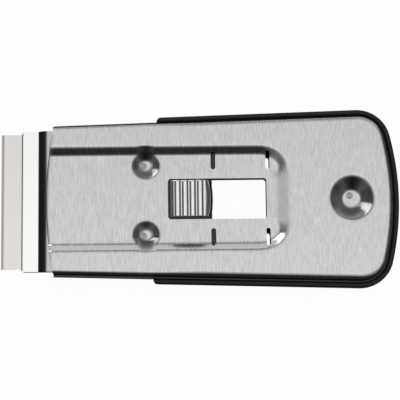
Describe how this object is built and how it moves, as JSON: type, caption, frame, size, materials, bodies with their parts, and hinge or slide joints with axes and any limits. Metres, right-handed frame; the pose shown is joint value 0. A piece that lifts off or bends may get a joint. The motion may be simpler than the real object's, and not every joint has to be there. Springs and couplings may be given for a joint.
{
  "type": "ceramic hob scraper",
  "caption": "Flat hob scraper with a pressed steel casing, a retractable clamped blade on a ribbed thumb slide and a rubber edge trim.",
  "frame": {"origin": "middle of the tool's length and width at rest, on the outer face of the back shell", "axes": "+X from the blade to the rear end, +Y across the tool to its left side seen from the front with the blade pointing left and Y up, +Z from the back face to the thumb button"},
  "size_m": [0.1178, 0.0532, 0.0092],
  "materials": {
    "casing_steel": "brushed across the tool",
    "trim_rubber": "satin black",
    "rivet_steel": "satin",
    "carriage_steel": "rolled",
    "jaw_steel": "bright",
    "spring_steel": "tempered",
    "blade_steel": "ground",
    "button_steel": "bright",
    "shoe_nylon": "moulded"
  },
  "bodies": {
    "body": {"front_shell": "casing_steel", "back_shell": "casing_steel", "edge_trim": "trim_rubber", "shell_rivets": "rivet_steel"},
    "carriage": {"blade_carrier": "carriage_steel", "clamp_jaw": "jaw_steel", "clamp_spacer": "carriage_steel", "clamp_rivets": "rivet_steel", "leaf_spring": "spring_steel", "leaf_rivet": "rivet_steel", "guide_shoe_left": "shoe_nylon", "guide_shoe_right": "shoe_nylon"},
    "blade": {"blade": "blade_steel"},
    "latch": {"latch_plate": "carriage_steel", "thumb_button": "button_steel"}
  },
  "joints": [
    {"name": "carrier_slide", "type": "slide", "parent": "body", "child": "carriage", "axis": [1, 0, 0], "range_m": [0, 0.0155]},
    {"name": "button_press", "type": "slide", "parent": "carriage", "child": "latch", "axis": [0, 0, -1], "range_m": [-0.0006, 0.0005], "stiffness_N_per_m": 300, "springref_m": -0.0006, "deforming": ["leaf_spring"]},
    {"name": "blade_pull", "type": "slide", "parent": "carriage", "child": "blade", "axis": [-1, 0, 0], "range_m": [0, 0.0125]}
  ]
}
